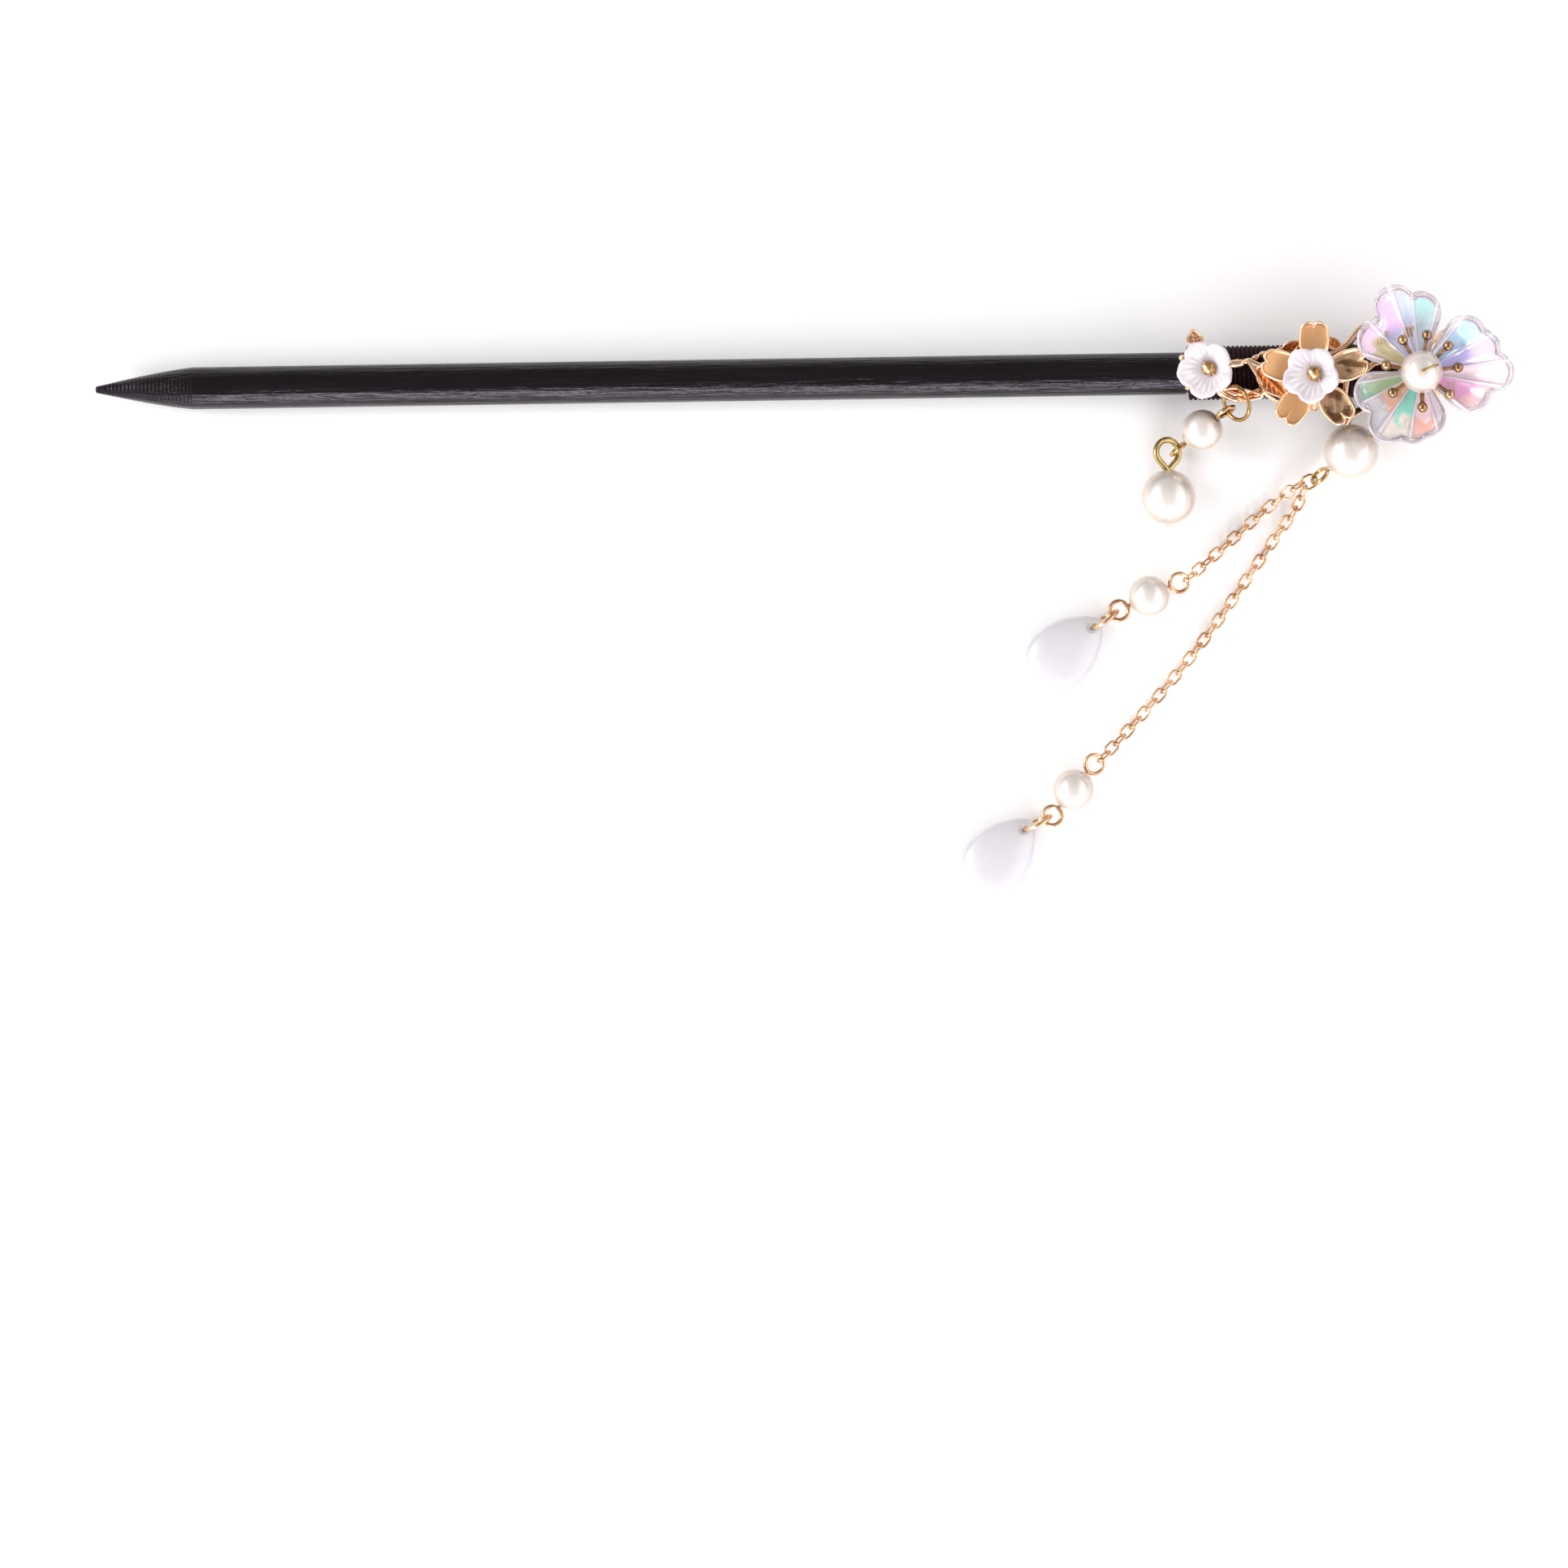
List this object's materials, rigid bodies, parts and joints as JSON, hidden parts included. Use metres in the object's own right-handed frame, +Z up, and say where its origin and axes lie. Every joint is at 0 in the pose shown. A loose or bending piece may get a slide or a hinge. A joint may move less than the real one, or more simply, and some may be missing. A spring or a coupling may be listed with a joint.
{
  "type": "hair stick",
  "caption": "Straight pointed hair stick with a thread-wrapped end, a gilded flower branch, pearls, fine chains and glass drops.",
  "frame": {"origin": "middle of the bounding box in plan, at the height of the floor it lies on", "axes": "+X along the stick from its point towards the blossoms, -Y towards the hanging chains, +Z up from the floor"},
  "size_m": [0.2014, 0.0862, 0.0196],
  "materials": {
    "lacquered_wood": "black lacquer, semi-gloss",
    "thread": "dark braided cord, faint sheen",
    "gilt_metal": "rose gold plating, polished",
    "old_gold": "antique gold plating",
    "gold_bead": "gold-lined glass bead",
    "crystal_resin": "clear with an iridescent film",
    "pressed_glass": "frosted white",
    "milky_glass": "milky white, glossy",
    "pearl": "pearl lustre"
  },
  "bodies": {
    "root": {"stick": "lacquered_wood", "thread_wrap": "thread", "branch": "gilt_metal", "gilt_blossom": "gilt_metal", "crystal_blossom": "crystal_resin", "stamens": "old_gold", "centre_pearl": "pearl", "pearl_pin": "gilt_metal", "glass_flower_left": "pressed_glass", "glass_flower_right": "pressed_glass", "seed_bead_left": "gold_bead", "seed_bead_right": "gold_bead", "tie_left": "gilt_metal", "tie_right": "gilt_metal", "ring_upper": "gilt_metal", "eye_pin_upper": "gilt_metal", "pearl_upper": "pearl", "thick_eye": "old_gold", "pearl_tail": "pearl", "ring_main": "gilt_metal", "eye_pin_main": "gilt_metal", "pearl_main": "pearl", "link_main": "gilt_metal", "chain_short": "gilt_metal", "eye_pin_short": "gilt_metal", "pearl_short": "pearl", "ring_short": "gilt_metal", "drop_short": "milky_glass", "chain_long": "gilt_metal", "eye_pin_long": "gilt_metal", "pearl_long": "pearl", "ring_long": "gilt_metal", "drop_long": "milky_glass"}
  },
  "joints": []
}
